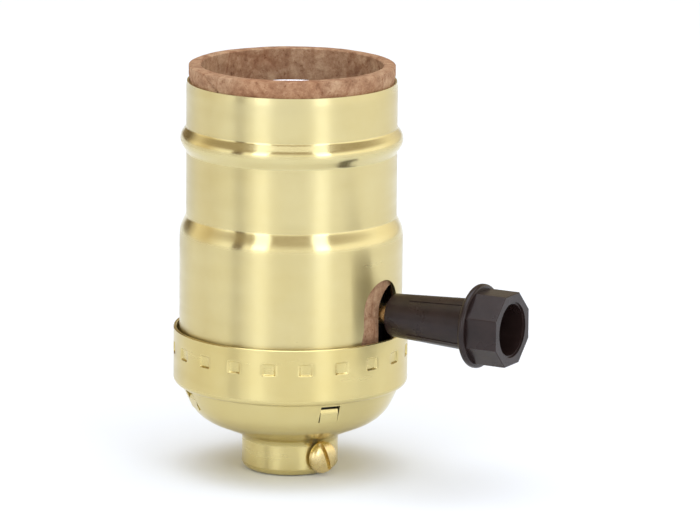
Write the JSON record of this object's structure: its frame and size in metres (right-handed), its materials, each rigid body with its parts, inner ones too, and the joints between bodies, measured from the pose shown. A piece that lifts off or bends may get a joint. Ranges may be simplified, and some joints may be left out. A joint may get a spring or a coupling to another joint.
{
  "type": "turn-knob lamp socket",
  "caption": "Medium-base lamp socket with a brass cap and outer shell, fibre sleeve, screw-shell interior and a rotary switch turned by an octagonal side knob.",
  "frame": {"origin": "centre of the neck's lower face, where the 1/8 IP nipple enters", "axes": "+Z along the socket's axis, up towards the lamp; +X along the turn knob's axis, outwards"},
  "size_m": [0.057, 0.0364, 0.0638],
  "materials": {
    "brass": "polished",
    "turned_brass": "turned",
    "fibre": "matte",
    "phenolic": "semi-gloss moulded",
    "inner_phenolic": "satin moulded",
    "aluminium": "bright rolled",
    "plated_steel": "nickel plated",
    "contact_brass": "spring sheet"
  },
  "bodies": {
    "cap": {"cap": "brass", "threaded_bushing": "turned_brass", "cap_insulator": "fibre"},
    "set_screw": {"set_screw": "turned_brass"},
    "interior": {"base_block": "inner_phenolic", "switch_housing": "inner_phenolic", "screw_shell": "aluminium", "body_rivets": "plated_steel", "center_contact_rivet": "turned_brass", "neutral_terminal": "plated_steel", "line_terminal": "contact_brass", "line_contact_spring": "contact_brass", "load_contact_spring": "contact_brass", "index_spring": "plated_steel"},
    "center_contact": {"center_contact": "contact_brass"},
    "line_screw": {"line_screw": "turned_brass"},
    "neutral_screw": {"neutral_screw": "plated_steel"},
    "rotor": {"knob": "phenolic", "spindle": "turned_brass", "rotor_drum": "inner_phenolic", "rotor_contacts": "contact_brass"},
    "shell": {"outer_shell": "brass", "insulating_sleeve": "fibre"}
  },
  "joints": [
    {"name": "interior_lift", "type": "slide", "parent": "cap", "child": "interior", "axis": [0, 0, 1], "range_m": [0, 0.025]},
    {"name": "shell_lift", "type": "slide", "parent": "interior", "child": "shell", "axis": [0, 0, 1], "range_m": [0, 0.055]},
    {"name": "knob_turn", "type": "hinge", "parent": "interior", "child": "rotor", "pos_m": [0, 0, 0.0262], "axis": [1, 0, 0], "continuous": true, "deforming": ["index_spring"]},
    {"name": "set_screw_travel", "type": "slide", "parent": "cap", "child": "set_screw", "axis": [0.9272, -0.3746, 0], "range_m": [0, 0.002]},
    {"name": "line_screw_travel", "type": "slide", "parent": "interior", "child": "line_screw", "axis": [0, 1, 0], "range_m": [0, 0.0016]},
    {"name": "neutral_screw_travel", "type": "slide", "parent": "interior", "child": "neutral_screw", "axis": [0, -1, 0], "range_m": [0, 0.0016]},
    {"name": "center_contact_press", "type": "hinge", "parent": "interior", "child": "center_contact", "pos_m": [0.005, 0, 0.0387], "axis": [0, 1, 0], "range_deg": [-10, 0], "stiffness_Nm_per_rad": 0.02}
  ]
}
